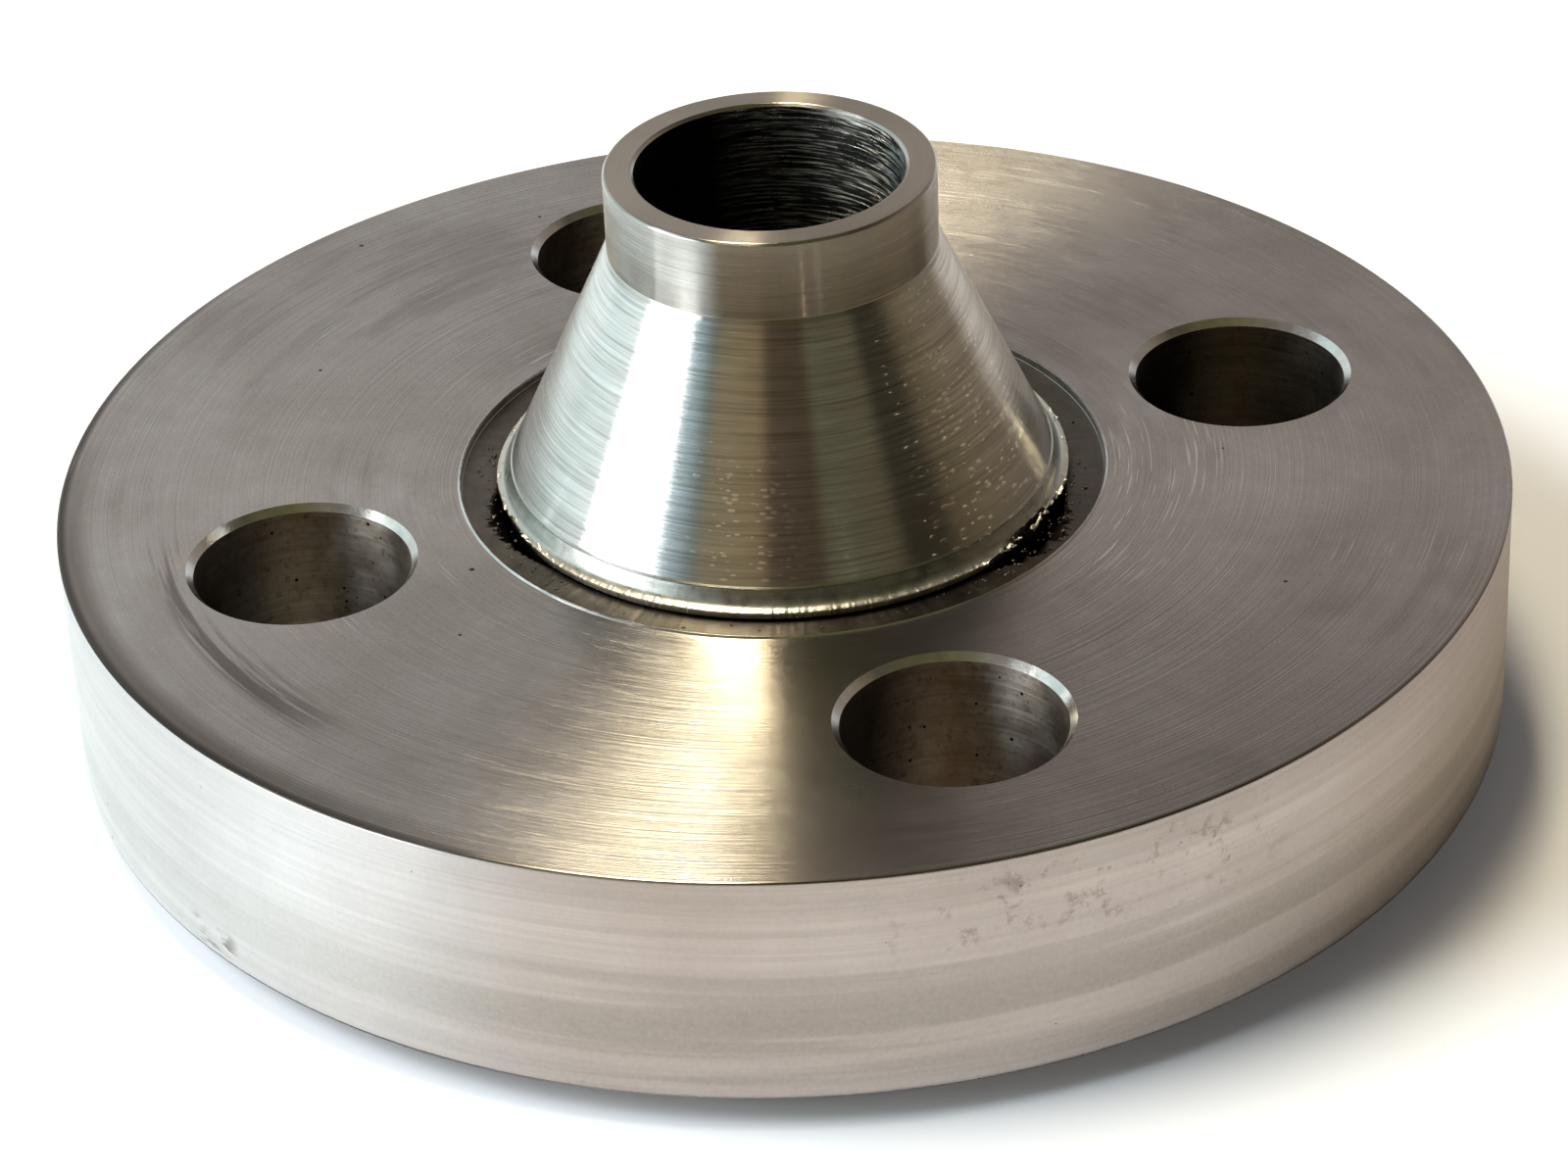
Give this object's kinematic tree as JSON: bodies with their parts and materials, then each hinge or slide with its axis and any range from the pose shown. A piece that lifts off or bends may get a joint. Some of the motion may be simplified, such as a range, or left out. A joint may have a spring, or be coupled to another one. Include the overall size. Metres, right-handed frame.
{
  "type": "rotatable weld-neck pipe flange",
  "caption": "Round steel pipe flange: a drilled ring that turns on a conical weld-neck hub with a bored pipe end.",
  "frame": {"origin": "centre of the hub's raised sealing face, which the flange stands on", "axes": "+Z along the bore axis, towards the weld end; the bolt holes straddle the X and Y axes"},
  "size_m": [0.095, 0.095, 0.04],
  "materials": {
    "hub_steel": "turned stainless steel, bright and lightly scratched, with a burred lip round the hub",
    "ring_steel": "turned stainless steel, warm grey and satin, with fine turning marks and dark drilled holes"
  },
  "bodies": {
    "hub": {"weld_neck_hub": "hub_steel"},
    "ring": {"flange_ring": "ring_steel"}
  },
  "joints": [
    {"name": "ring_swivel", "type": "hinge", "parent": "hub", "child": "ring", "pos_m": [0, 0, 0.006], "axis": [0, 0, 1], "continuous": true}
  ]
}
